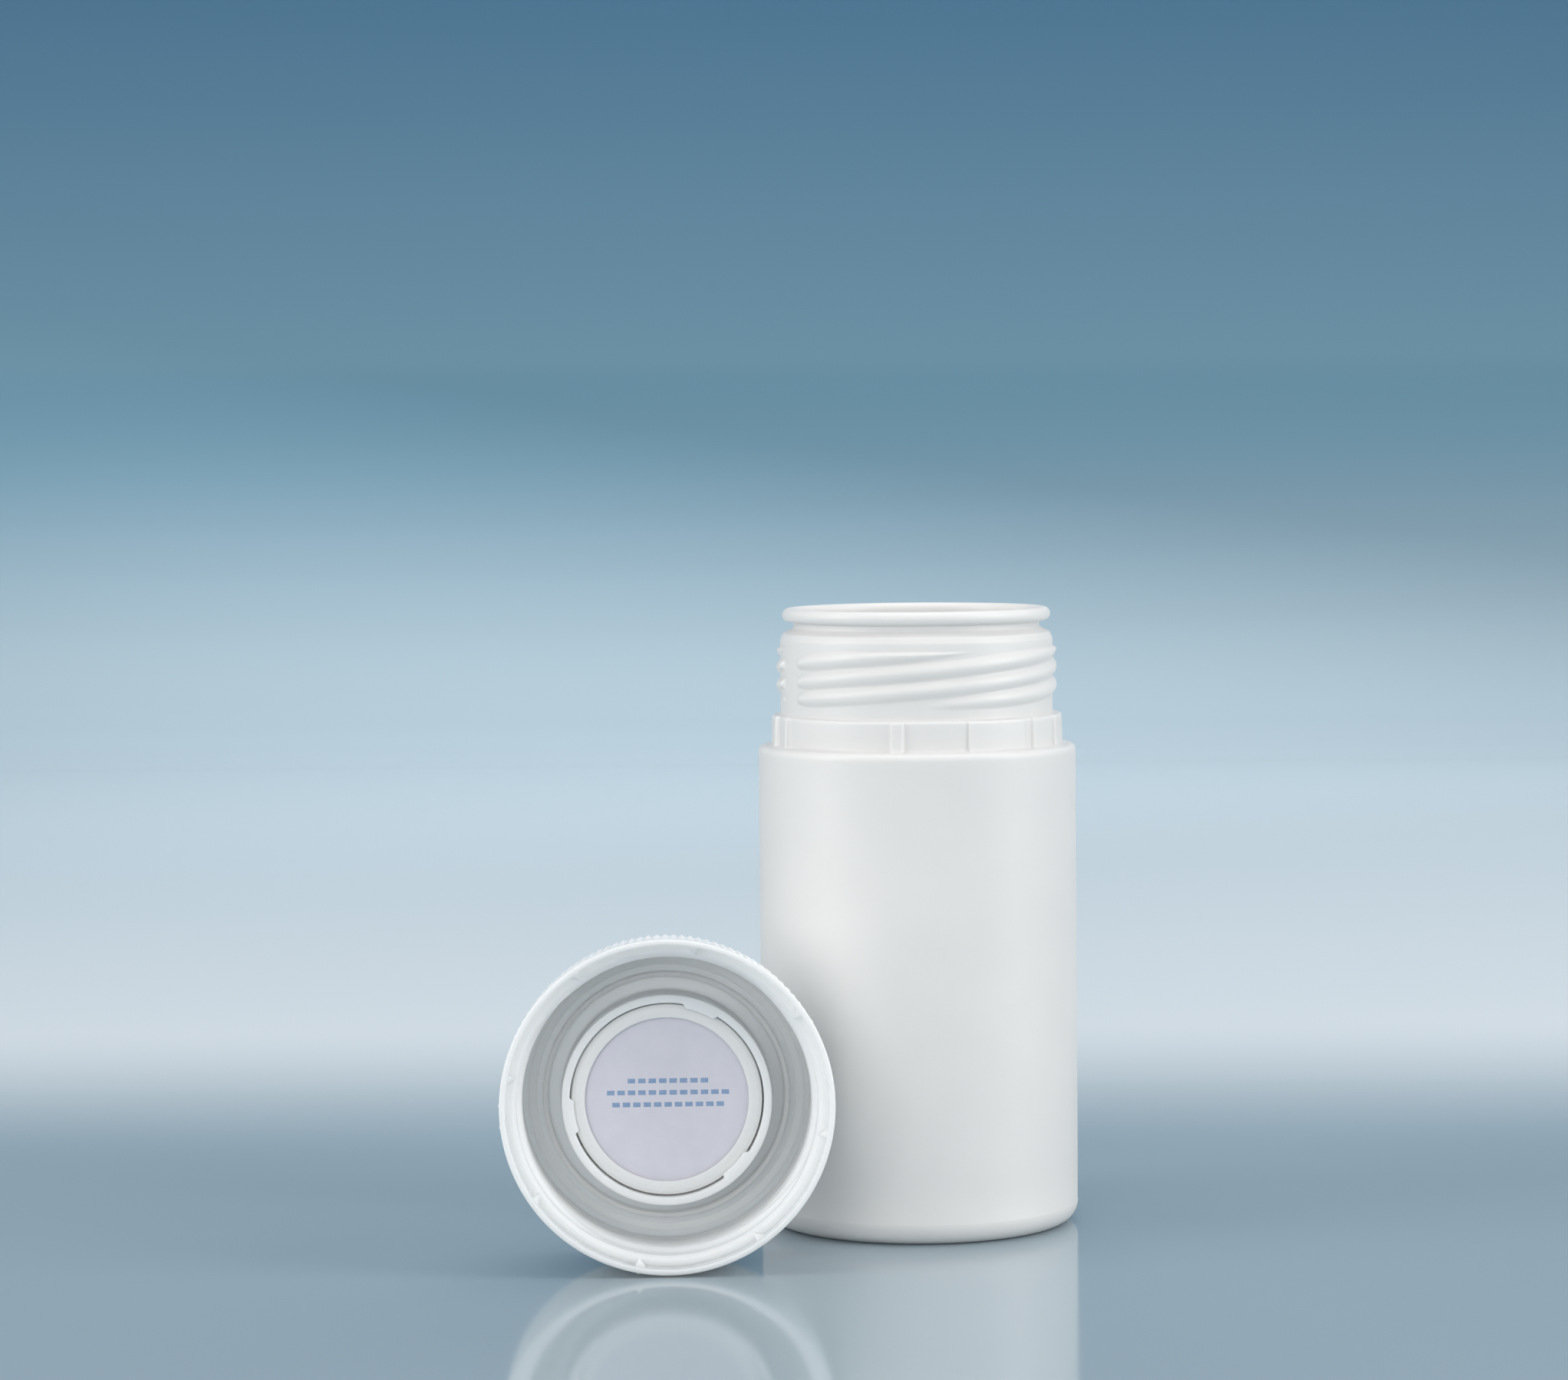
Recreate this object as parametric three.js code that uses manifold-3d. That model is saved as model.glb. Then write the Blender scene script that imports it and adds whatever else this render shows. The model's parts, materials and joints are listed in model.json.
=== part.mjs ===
// Wide-mouth tablet container with its desiccant screw closure lying open beside it.
// Millimetres, +Z up. The origin is on the container's axis, in the plane that it stands on.
// The front of the part faces -Y. Angles round an axis are in degrees.
import * as THREE from "three";
import { mergeVertices } from "three/addons/utils/BufferGeometryUtils.js";
import Module from "manifold-3d";

const wasm = await Module();
wasm.setup();

// ---------------------------------------------------------------- driving dimensions

const GAP = 0.3; // clearance between pieces that touch on the real object

const body = {
  radius: 25.5,
  wall: 1.1,
  floor: 1.5,
  baseRound: 3.4,
  standingRing: 18.5, // inner radius of the ring that it stands on
  centreFlat: 8, // radius of the flat boss in the middle of the base
  recess: 0.6, // depth of the ring-shaped hollow between the two
  shoulderZ: 77.2,
  shoulderRound: 1.3,
};

const neck = {
  radius: 21.85,
  innerRadius: 20.35,
  wallTopZ: 94.1,
  grooveRadius: 19.75,
  grooveFromZ: 96.0,
  grooveToZ: 96.6,
  boreRadius: 19.15,
  beadRadius: 1.08, // of the round bead's own section
  beadCentre: 20.42,
  topZ: 99.05,
};

const ratchetRing = { radius: 22.8, blockRadius: 23.4, fromZ: 76.6, toZ: 82.05, bevel: 0.6 };

// Raised blocks on the ratchet ring: [from, to] degrees, repeated half a turn further on.
const ratchetBlocks = [
  [-90, -76.5],
  [-75.3, -64.5],
  [-12, -7],
  [19.2, 45.4],
  [50.3, 65.3],
  [68.8, 90],
];

const thread = { starts: 4, lead: 11.9, turn: 300 };
const neckThread = { crest: 22.5, firstAngle: 3, firstZ: 83.85, halfWidth: 1.2 };
const neckThreadGaps = [-67.7, 112.3]; // centres of the two smooth strips on the parting line
const neckThreadGapWidth = 15.5;

const closure = {
  taper: THREE.MathUtils.degToRad(2.6),
  rimRadius: 25.4, // outer radius at the rim plane, before the taper
  crestRadius: 25.75, // knurl crests at the rim plane, before the taper
  knurlDepth: 0.35,
  knurls: 120,
  height: 22.5,
  topThickness: 1.2,
  topRound: 1.1,
  ringHeight: 3.5, // tamper ring
  ringInner: 24.5,
  threadRoot: 22.95,
  wallStep: 0.6, // how much narrower the plain wall beyond the thread is
  threadCrest: 22.1,
  leadIn: 23.45,
};

const lug = { count: 8, firstAngle: 9.7, inner: 23.0, fromZ: 0.7, toZ: 2.6, width: 4 };
const closureThread = { firstAngle: 20, firstZ: 6.2, halfWidth: 0.95 };
const plug = { outer: 19.05, inner: 18.35, fromZ: 18.9 };
const seat = { outer: 21.2, inner: 20.1, depth: 0.3 }; // land that presses on the bead's top
const chamber = { outer: 16.1, inner: 14.9, fromZ: 10.4 };
const snap = { angles: [44, 171, 291], width: 20, inner: 14.25, toZ: 11.4 };

const canister = {
  radius: 14.25,
  beadOuter: 14.65,
  lipInner: 12.55,
  innerRadius: 13.3,
  fromZ: 11.7,
  toZ: 20.9,
  lipThickness: 0.7,
  floor: 0.8,
};
const card = { radius: 13.0, thickness: 0.5 };
const bead = { radius: 1.65, rings: [1, 6, 12, 18], ringPitch: 3.7 };

// Where the closure lies: rim centre, and the yaw of its axis. It lies on its knurled side, so
// its axis dips by its own taper towards the closed end.
const closurePlace = { x: -39.4, y: -47.6, yaw: THREE.MathUtils.degToRad(2) };

const KNURL_COVER = 0.12; // how far the knurl roots stand outside the plain wall
const SEGMENTS = 40;

// ---------------------------------------------------------------- materials

function plastic(color, roughness) {
  return new THREE.MeshStandardMaterial({ color, roughness, metalness: 0 });
}

const containerPlastic = plastic(0xe8eaea, 0.42);
const closurePlastic = plastic(0xe3e7e7, 0.4);
const canisterPlastic = plastic(0xdcdfdf, 0.45);
const cardPaper = plastic(0xc6c4cc, 0.9);
const beadGel = plastic(0xd9d4c7, 0.35);

// ---------------------------------------------------------------- solids

const radians = THREE.MathUtils.degToRad;

function solidOf(geometry) {
  geometry.deleteAttribute("normal");
  geometry.deleteAttribute("uv");
  const merged = mergeVertices(geometry, 1e-3);
  return new wasm.Manifold(
    new wasm.Mesh({
      numProp: 3,
      vertProperties: new Float32Array(merged.attributes.position.array),
      triVerts: new Uint32Array(merged.index.array),
    }),
  );
}

function geometryOf(solid) {
  const mesh = solid.getMesh();
  const points = new Float32Array(mesh.numVert * 3);
  for (let i = 0; i < mesh.numVert; i++) {
    const at = i * mesh.numProp;
    points.set(mesh.vertProperties.subarray(at, at + 3), i * 3);
  }
  const geometry = new THREE.BufferGeometry();
  geometry.setAttribute("position", new THREE.BufferAttribute(points, 3));
  geometry.setIndex(new THREE.BufferAttribute(new Uint32Array(mesh.triVerts), 1));
  return geometry.toNonIndexed();
}

function named(name, solid, material) {
  const geometry = geometryOf(solid);
  geometry.computeVertexNormals();
  const mesh = new THREE.Mesh(geometry, material);
  mesh.name = name;
  return mesh;
}

// A solid turned about Z from [radius, z] points. They run so that the solid is on their left.
function turned(points, segments = SEGMENTS) {
  const outline = points.map(([r, z]) => new THREE.Vector2(r, z));
  const geometry = new THREE.LatheGeometry(outline, segments);
  geometry.rotateX(Math.PI / 2);
  return solidOf(geometry);
}

// Points of a round corner or bead, from one angle to another about [radius, z].
function arc(centreR, centreZ, radius, fromDeg, toDeg, steps = 3) {
  const points = [];
  for (let i = 0; i <= steps; i++) {
    const a = radians(fromDeg + ((toDeg - fromDeg) * i) / steps);
    points.push([centreR + radius * Math.cos(a), centreZ + radius * Math.sin(a)]);
  }
  return points;
}

// A closed solid swept round Z: sectionAt(t) gives its [radius, z] corners, anticlockwise with z
// up and radius to the right, and angleAt(t) gives the angle, which grows with t.
function swept(sectionAt, angleAt, steps) {
  const positions = [];
  const sections = [];
  for (let i = 0; i <= steps; i++) {
    const t = i / steps;
    const a = angleAt(t);
    sections.push(sectionAt(t).map(([r, z]) => [r * Math.cos(a), r * Math.sin(a), z]));
  }
  const corners = sections[0].length;
  const triangle = (a, b, c) => positions.push(...a, ...b, ...c);
  for (let i = 0; i < steps; i++) {
    for (let j = 0; j < corners; j++) {
      const k = (j + 1) % corners;
      triangle(sections[i][j], sections[i + 1][k], sections[i][k]);
      triangle(sections[i][j], sections[i + 1][j], sections[i + 1][k]);
    }
  }
  for (let j = 1; j < corners - 1; j++) {
    triangle(sections[0][0], sections[0][j], sections[0][j + 1]);
    triangle(sections[steps][0], sections[steps][j + 1], sections[steps][j]);
  }
  const geometry = new THREE.BufferGeometry();
  geometry.setAttribute("position", new THREE.Float32BufferAttribute(positions, 3));
  return solidOf(geometry);
}

// A block that follows the wall between two angles.
function ringBlock(fromDeg, toDeg, innerR, outerR, fromZ, toZ, bevel = 0) {
  const section = [
    [innerR, fromZ],
    [outerR, fromZ],
    [outerR, toZ - bevel],
    [outerR - bevel, toZ],
    [innerR, toZ],
  ];
  const angleAt = (t) => radians(fromDeg + (toDeg - fromDeg) * t);
  return swept(() => section, angleAt, Math.max(2, Math.round((toDeg - fromDeg) / 5)));
}

// How far a ridge stands at a share t of its length: it grows and fades over the end shares.
function ridgeHeight(t, growShare, fadeShare) {
  const rise = Math.min(1, t / growShare, (1 - t) / fadeShare);
  return Math.sin((rise * Math.PI) / 2);
}

// One start of a thread as a helical ridge on a wall, cut where it crosses a smooth strip.
function threadRidge({ wall, crest, angle, z, halfWidth, gaps = [] }) {
  const buried = wall + Math.sign(wall - crest) * 0.5;
  const sectionAt = (t) => {
    const height = ridgeHeight(t, 0.13, 0.15);
    const top = wall + (crest - wall) * height + Math.sign(wall - crest) * 0.05;
    const middle = z + (thread.lead * thread.turn * t) / 360;
    const width = halfWidth * (0.35 + 0.65 * height);
    const section = [
      [buried, middle - width],
      [top, middle],
      [buried, middle + width],
    ];
    return crest > wall ? section : section.reverse();
  };
  const angleAt = (t) => radians(angle + thread.turn * t);
  const ridge = swept(sectionAt, angleAt, 30);
  const reach = Math.max(wall, crest) + 2;
  return gaps.reduce((solid, centre) => {
    const half = neckThreadGapWidth / 2;
    const strip = ringBlock(centre - half, centre + half, 15, reach, 60, 110);
    return solid.subtract(strip);
  }, ridge);
}

// ---------------------------------------------------------------- the container

function containerOutline() {
  const { radius, wall, baseRound, shoulderZ, shoulderRound, floor } = body;
  const inner = radius - wall;
  return [
    [0, 0],
    [body.centreFlat, 0],
    [body.centreFlat + 1.2, body.recess],
    [body.standingRing - 1.2, body.recess],
    [body.standingRing, 0],
    ...arc(radius - baseRound, baseRound, baseRound, -90, 0),
    ...arc(radius - shoulderRound, shoulderZ - shoulderRound, shoulderRound, 0, 90, 2),
    [neck.radius, shoulderZ],
    [neck.radius, neck.wallTopZ],
    [neck.radius - 0.35, neck.wallTopZ + 0.75],
    [neck.grooveRadius, neck.grooveFromZ],
    [neck.grooveRadius, neck.grooveToZ],
    ...arc(neck.beadCentre, neck.topZ - neck.beadRadius, neck.beadRadius, -60, 180, 6),
    [neck.boreRadius, neck.wallTopZ],
    [neck.innerRadius, neck.wallTopZ - 2.2],
    [neck.innerRadius, shoulderZ - 1.2],
    ...arc(inner - 1.5, shoulderZ - 1.2 - 1.5, 1.5, 90, 0, 1),
    ...arc(inner - 2.3, floor + 2.3, 2.3, 0, -90, 2),
    [0, floor],
  ];
}

function ratchetSolid() {
  const { radius, blockRadius, fromZ, toZ, bevel } = ratchetRing;
  const innerR = neck.radius - 0.6;
  const baseTopZ = toZ - 0.2;
  let ring = turned([
    [innerR, fromZ],
    [radius, fromZ],
    [radius, baseTopZ - bevel],
    [radius - bevel, baseTopZ],
    [innerR, baseTopZ],
    [innerR, fromZ],
  ]);
  for (const [from, to] of ratchetBlocks) {
    for (const turn of [0, 180]) {
      const start = turn - 90; // the front faces -Y
      const block = ringBlock(start + from, start + to, innerR, blockRadius, fromZ, toZ, bevel);
      ring = ring.add(block);
    }
  }
  return ring;
}

function containerSolid() {
  let solid = turned(containerOutline()).add(ratchetSolid());
  for (let start = 0; start < thread.starts; start++) {
    const ridge = threadRidge({
      wall: neck.radius,
      crest: neckThread.crest,
      angle: neckThread.firstAngle - 90 + (360 / thread.starts) * start,
      z: neckThread.firstZ,
      halfWidth: neckThread.halfWidth,
      gaps: neckThreadGaps.map((centre) => centre - 90),
    });
    solid = solid.add(ridge);
  }
  return solid;
}

// ---------------------------------------------------------------- the closure
// The closure's own frame: z runs from the rim plane into the closed end, x to the right and
// y down as seen from the open end.

const taperAt = (z) => z * Math.tan(closure.taper);

function tamperRingSolid() {
  const { rimRadius, ringHeight, ringInner } = closure;
  let ring = turned([
    [ringInner, 0.25],
    [ringInner + 0.25, 0],
    [rimRadius - 0.35, 0],
    [rimRadius, 0.35],
    [rimRadius - taperAt(ringHeight), ringHeight],
    [ringInner, ringHeight],
    [ringInner, 0.25],
  ]);
  for (let i = 0; i < lug.count; i++) {
    const middle = lug.firstAngle + (360 / lug.count) * i;
    const angleAt = (t) => radians(middle + lug.width * (t - 0.5));
    const sectionAt = (t) => {
      const inner = ringInner - (ringInner - lug.inner) * t - 0.1;
      return [
        [inner, lug.fromZ + 0.6],
        [ringInner + 0.3, lug.fromZ],
        [ringInner + 0.3, lug.toZ],
        [inner, lug.toZ],
      ];
    };
    ring = ring.add(swept(sectionAt, angleAt, 3));
  }
  return ring;
}

function shellOutline() {
  const { height, topThickness, topRound, threadRoot, wallStep, leadIn, ringHeight } = closure;
  const rootAt = (z) => closure.crestRadius - closure.knurlDepth - KNURL_COVER - taperAt(z);
  const skirtZ = ringHeight + GAP;
  const ceiling = height - topThickness;
  return [
    [leadIn, skirtZ],
    [rootAt(skirtZ), skirtZ],
    ...arc(rootAt(height) - topRound, height - topRound, topRound, 0, 90, 2),
    [0, height],
    [0, ceiling],
    [chamber.inner, ceiling],
    [chamber.inner, chamber.fromZ + 0.3],
    [chamber.inner + 0.2, chamber.fromZ],
    [chamber.outer - 0.25, chamber.fromZ],
    [chamber.outer, chamber.fromZ + 0.25],
    [chamber.outer + 0.15, ceiling],
    [plug.inner, ceiling],
    [plug.inner, plug.fromZ + 0.2],
    [(plug.inner + plug.outer) / 2, plug.fromZ],
    [plug.outer, plug.fromZ + 0.2],
    [plug.outer, ceiling],
    [seat.inner, ceiling],
    [seat.inner, ceiling - seat.depth],
    [seat.outer, ceiling - seat.depth],
    [seat.outer, ceiling],
    [threadRoot - wallStep, ceiling],
    [threadRoot - wallStep, ceiling - 4.4],
    [threadRoot, ceiling - 5.5],
    [threadRoot, skirtZ + 0.7],
    [leadIn, skirtZ],
  ];
}

// The knurled outside as a sleeve whose every second column stands out.
function knurlSleeve() {
  const fromZ = closure.ringHeight + GAP + 0.5;
  const toZ = closure.height - closure.topRound - 0.2;
  const inner = 24.0;
  const crestAt = (z) => closure.crestRadius - taperAt(z);
  const outline = [
    [inner, fromZ],
    [crestAt(fromZ), fromZ],
    [crestAt(toZ), toZ],
    [inner, toZ],
    [inner, fromZ],
  ];
  const points = outline.map(([r, z]) => new THREE.Vector2(r, z));
  const geometry = new THREE.LatheGeometry(points, closure.knurls * 2);
  const place = geometry.attributes.position;
  const crestRows = [1, 2];
  for (let i = 0; i < place.count; i++) {
    const column = Math.floor(i / outline.length);
    if (column % 2 === 0 || !crestRows.includes(i % outline.length)) continue;
    const [r] = outline[i % outline.length];
    const shrink = (r - closure.knurlDepth) / r;
    place.setX(i, place.getX(i) * shrink);
    place.setZ(i, place.getZ(i) * shrink);
  }
  geometry.rotateX(Math.PI / 2);
  return solidOf(geometry);
}

function closureShellSolid() {
  let shell = turned(shellOutline()).add(knurlSleeve());
  for (let start = 0; start < thread.starts; start++) {
    const ridge = threadRidge({
      wall: closure.threadRoot,
      crest: closure.threadCrest,
      angle: closureThread.firstAngle + (360 / thread.starts) * start,
      z: closureThread.firstZ,
      halfWidth: closureThread.halfWidth,
    });
    shell = shell.add(ridge);
  }
  for (const middle of snap.angles) {
    const half = snap.width / 2;
    const wallR = (chamber.inner + chamber.outer) / 2;
    const fromZ = chamber.fromZ + 0.05;
    shell = shell.add(ringBlock(middle - half, middle + half, snap.inner, wallR, fromZ, snap.toZ));
  }
  return shell;
}

function canisterSolid() {
  const { radius, beadOuter, lipInner, innerRadius, fromZ, toZ, lipThickness, floor } = canister;
  return turned([
    [lipInner, fromZ + 0.3],
    [lipInner + 0.35, fromZ],
    [beadOuter - 0.5, fromZ],
    [beadOuter, fromZ + 0.5],
    [beadOuter, fromZ + 1.2],
    [radius, fromZ + 1.6],
    [radius, toZ - 0.8],
    [radius - 0.8, toZ],
    [0, toZ],
    [0, toZ - floor],
    [innerRadius - 0.5, toZ - floor],
    [innerRadius, toZ - floor - 0.5],
    [innerRadius, fromZ + lipThickness],
    [lipInner, fromZ + lipThickness],
    [lipInner, fromZ + 0.3],
  ]);
}

function cardSolid() {
  const fromZ = canister.fromZ + canister.lipThickness + GAP;
  return turned([
    [0, fromZ],
    [card.radius, fromZ],
    [card.radius, fromZ + card.thickness],
    [0, fromZ + card.thickness],
  ]);
}

// Desiccant beads in one layer behind the card, in rings about the closure's axis.
function beadMeshes() {
  const cardBack = canister.fromZ + canister.lipThickness + GAP + card.thickness;
  const z = cardBack + GAP + bead.radius;
  const meshes = [];
  bead.rings.forEach((count, ring) => {
    for (let i = 0; i < count; i++) {
      const a = (2 * Math.PI * i) / count;
      const ball = new THREE.OctahedronGeometry(bead.radius, 1);
      const name = "desiccant_bead_" + String(meshes.length + 1).padStart(2, "0");
      const mesh = named(name, solidOf(ball), beadGel);
      mesh.position.set(ring * bead.ringPitch * Math.cos(a), ring * bead.ringPitch * Math.sin(a), z);
      meshes.push(mesh);
    }
  });
  return meshes;
}

// Turns the closure's own frame so that it lies on its side, its closed end away from -Y.
function lieOnSide(group) {
  const { x, y, yaw } = closurePlace;
  const dip = closure.taper;
  const level = new THREE.Vector3(-Math.sin(yaw), Math.cos(yaw), 0);
  const along = level.multiplyScalar(Math.cos(dip)).setZ(-Math.sin(dip));
  const right = new THREE.Vector3(Math.cos(yaw), Math.sin(yaw), 0);
  const down = new THREE.Vector3().crossVectors(along, right);
  const rimHeight = closure.crestRadius * Math.cos(dip);
  group.matrixAutoUpdate = false;
  group.matrix.makeBasis(right, down, along).setPosition(x, y, rimHeight);
}

// ---------------------------------------------------------------- the part

const part = new THREE.Group();
part.add(named("container", containerSolid(), containerPlastic));

const closureGroup = new THREE.Group();
closureGroup.add(named("closure_shell", closureShellSolid(), closurePlastic));
closureGroup.add(named("tamper_ring", tamperRingSolid(), closurePlastic));
closureGroup.add(named("desiccant_canister", canisterSolid(), canisterPlastic));
closureGroup.add(named("card_disc", cardSolid(), cardPaper));
closureGroup.add(...beadMeshes());
lieOnSide(closureGroup);
part.add(closureGroup);

export default part;
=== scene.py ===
"""Looks of the tablet container and its desiccant screw closure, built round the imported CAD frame.

Outlines are in millimetres, as [radius, height] pairs turned about an axis, and each piece is
put in place in metres from the frame's own joints and mounts.
"""
import json
import math

import bpy
import numpy as np
from mathutils import Matrix, Vector


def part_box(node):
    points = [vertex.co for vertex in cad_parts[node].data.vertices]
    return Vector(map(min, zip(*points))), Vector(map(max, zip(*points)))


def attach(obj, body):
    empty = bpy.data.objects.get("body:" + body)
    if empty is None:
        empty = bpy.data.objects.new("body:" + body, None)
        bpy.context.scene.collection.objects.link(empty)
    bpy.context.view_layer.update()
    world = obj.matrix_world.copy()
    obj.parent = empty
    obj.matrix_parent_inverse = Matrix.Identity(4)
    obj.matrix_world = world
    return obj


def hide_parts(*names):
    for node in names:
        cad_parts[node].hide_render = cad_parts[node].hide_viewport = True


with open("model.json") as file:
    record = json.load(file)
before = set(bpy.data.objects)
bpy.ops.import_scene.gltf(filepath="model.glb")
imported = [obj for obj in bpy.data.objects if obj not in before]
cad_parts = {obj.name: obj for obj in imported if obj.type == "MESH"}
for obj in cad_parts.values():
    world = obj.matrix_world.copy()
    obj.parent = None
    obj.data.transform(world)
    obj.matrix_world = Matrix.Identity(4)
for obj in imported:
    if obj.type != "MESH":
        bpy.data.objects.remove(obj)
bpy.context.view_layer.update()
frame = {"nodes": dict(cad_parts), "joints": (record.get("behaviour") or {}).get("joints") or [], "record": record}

MM = 0.001

# ---------------------------------------------------------------- driving dimensions, in mm

HOLD = 0.18  # extra loops this close to each corner keep the flats beside it flat in shading

BODY_RADIUS = 25.5
BODY_WALL = 1.1
BODY_FLOOR = 1.5
BASE_ROUND = 3.4
STANDING_RING = 18.5  # inner radius of the ring that it stands on
CENTRE_FLAT = 8.0
BASE_RECESS = 0.6  # depth of the ring-shaped hollow between the two
SHOULDER_Z = 77.2
BASE_SEAM_Z = 3.6
BASE_SEAM_DEPTH = 0.05
BASE_SEAM_WIDTH = 0.1
WALL_WAVER = 0.018  # how far the wall wanders in and out
WALL_DRAWN_IN = 0.02  # keeps the wandering wall inside the body's radius
NECK_RADIUS = 21.85
NECK_INNER = 20.35
NECK_TOP_Z = 94.1
GROOVE_RADIUS = 19.75
GROOVE_Z = (95.9, 96.75)
BORE_RADIUS = 19.15
LIP_BEAD_RADIUS = 1.08
LIP_BEAD_CENTRE = (20.42, 97.97)

RATCHET_RADIUS = 22.8
RATCHET_TOP_Z = 82.0
RATCHET_BLOCKS = [  # from and to in degrees from the front, and the radius at each of them
    (-111.2, -76.5, 23.4, 23.4),
    (-75.3, -64.5, 22.9, 23.4),
    (-12.0, -7.0, 23.4, 23.4),
    (19.2, 45.4, 23.4, 23.4),
    (50.3, 65.3, 23.4, 23.4),
]
BLOCK_DRAFT = 0.05  # share of its height that a block loses for each mm upwards

THREAD_STARTS = 4
THREAD_LEAD = 11.9
THREAD_TURN = 300.0
THREAD_GROWS = 0.13  # share of a ridge's turn in which it reaches its full height
THREAD_FADES = 0.15  # share of its turn in which it dies out again
THREAD_SETTLES = 65.0  # degrees in which a ridge's raised start comes down to its lead
NECK_THREAD_CREST = 22.5
NECK_THREAD_FIRST = (3.0, 83.85)  # degrees from the front, height
NECK_THREAD_LEVEL = 0.5  # how far the start of each ridge is raised to run level
NECK_THREAD_HALF_WIDTH = 1.38
NECK_THREAD_Z = (83.95, 92.4)  # the ridges are cut off level outside these heights
NECK_THREAD_GAPS = (-67.7, 112.3)
NECK_THREAD_GAP_WIDTH = 15.5
NECK_THREAD_NARROWED = 0.38  # share of its width that a ridge loses beside a smooth strip

CLOSURE_HEIGHT = 22.5
CLOSURE_TAPER = math.radians(2.6)
RIM_RADIUS = 25.4
KNURL_CREST = 25.75
KNURL_DEPTH = 0.35
KNURL_COUNT = 120
RING_HEIGHT = 3.5
RING_SLIT = 0.3
RING_INNER = 24.5
CLOSURE_CEILING = 21.3
CLOSURE_THREAD_ROOT = 22.95
CLOSURE_THREAD_CREST = 22.1
CLOSURE_THREAD_END_Z = 15.8
PLAIN_WALL = 22.35  # the inner wall between the thread and the closed end
PLAIN_WALL_Z = 16.9
SKIRT_MIDDLE = 24.2  # a radius within the skirt's wall, between its two faces
PLUG_INNER = 18.35
PLUG_OUTER = 19.05
PLUG_FRONT_Z = 18.9
SEAT_INNER = 20.15
SEAT_OUTER = 21.2
SEAT_DEPTH = 0.3
PANEL_RADIUS = 20.2  # the shallow panel in the closure's flat top
PANEL_DEPTH = 0.15
GATE_RADIUS = 2.0
GATE_DEPTH = 0.25
NIB_ANGLES = (181.3, 173.9, 100.6, 330.0)  # where moulding leaves nibs on the rim
NIB_HEIGHT = 0.12
CLOSURE_THREAD_FIRST = (20.0, 6.2)
CLOSURE_THREAD_HALF_WIDTH = 0.95
LUG_COUNT = 8
LUG_FIRST = 9.7
LUG_INNER = 23.1
LUG_HALF_WIDTH = 1.7
LUG_Z = (1.1, 2.4)
BRIDGE_RADII = (24.4, 24.95)  # the bridges cross the slit between these
CHAMBER_OUTER = 16.1
CHAMBER_INNER = 14.9
CHAMBER_RIM_Z = 10.4
SNAP_ANGLES = (44.0, 171.0, 291.0)
SNAP_HALF_WIDTH = 10.0
SNAP_INNER = 14.25

CANISTER_FRONT_Z = 11.7
CANISTER_BACK_Z = 20.9
CANISTER_RADIUS = 14.25
CANISTER_FLANGE = 14.65
CANISTER_FACE = (13.3, 14.0)  # radii where its front face starts to slope, and meets the bead
CANISTER_LIP_INNER = 12.55
CANISTER_INNER = 13.3
CANISTER_WALL_BACK = 0.8
CARD_RADIUS = 13.0
CARD_FRONT_Z = 12.7
CARD_THICKNESS = 0.5

BEAD_RINGS = 12
BEAD_COLUMNS = 20
BEAD_SEED = 7
BEAD_UNEVENNESS = 0.05  # largest share that a bead is flattened by

PRINT_ROWS = [(-2.8, 8), (-1.0, 12), (0.85, 11)]  # how far below the card's centre, dashes
PRINT_MIDDLE = 0.2
PRINT_HALF_HEIGHT = 0.36
PRINT_PITCH = 1.6
PRINT_SHARE = 0.72  # of the pitch that a dash covers

# ---------------------------------------------------------------- frame

joints = {joint["name"]: joint for joint in frame["joints"]}
mounts = {mount["name"]: mount for mount in frame["record"]["mounts"]}


def closure_matrix():
    """From the closure's own frame in mm (z from the rim into the closed end) to the row frame."""
    along = Vector(joints["closure_turn"]["axis"]).normalized()
    right = Vector(joints["closure_tip"]["axis"]).normalized()
    down = along.cross(right)
    rim = Vector(mounts["closure_top"]["pos_m"]) - along * CLOSURE_HEIGHT * MM
    turned = Matrix((right, down, along)).transposed().to_4x4()
    return Matrix.Translation(rim) @ turned @ Matrix.Scale(MM, 4)


CONTAINER_PLACE = Matrix.Scale(MM, 4)
CLOSURE_PLACE = closure_matrix()

# ---------------------------------------------------------------- outlines


def arc(centre, radius, start, end, steps):
    """Corners without rounding along a circle, from one angle in degrees to another."""
    angles = np.radians(np.linspace(start, end, steps + 1))
    return [(centre[0] + radius * math.cos(a), centre[1] + radius * math.sin(a), 0) for a in angles]


def rounded(corners, closed=False, steps=5):
    """The outline through (radius, z, rounding) corners, each rounded by a smooth curve."""
    points = []
    for i, (r, z, rounding) in enumerate(corners):
        here = np.array((r, z), float)
        is_end = not closed and i in (0, len(corners) - 1)
        if is_end or rounding <= 0:
            points.append(here)
            continue
        before = np.array(corners[i - 1][:2], float) - here
        after = np.array(corners[(i + 1) % len(corners)][:2], float) - here
        before_length = np.linalg.norm(before)
        after_length = np.linalg.norm(after)
        cosine = before @ after / (before_length * after_length)
        half_angle = math.acos(max(-1.0, min(1.0, cosine))) / 2
        reach = min(rounding / math.tan(half_angle), 0.48 * before_length, 0.48 * after_length)
        start = here + before * reach / before_length
        end = here + after * reach / after_length
        for t in np.linspace(0, 1, steps + 1):
            points.append((1 - t) ** 2 * start + 2 * t * (1 - t) * here + t**2 * end)
    return points


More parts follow.
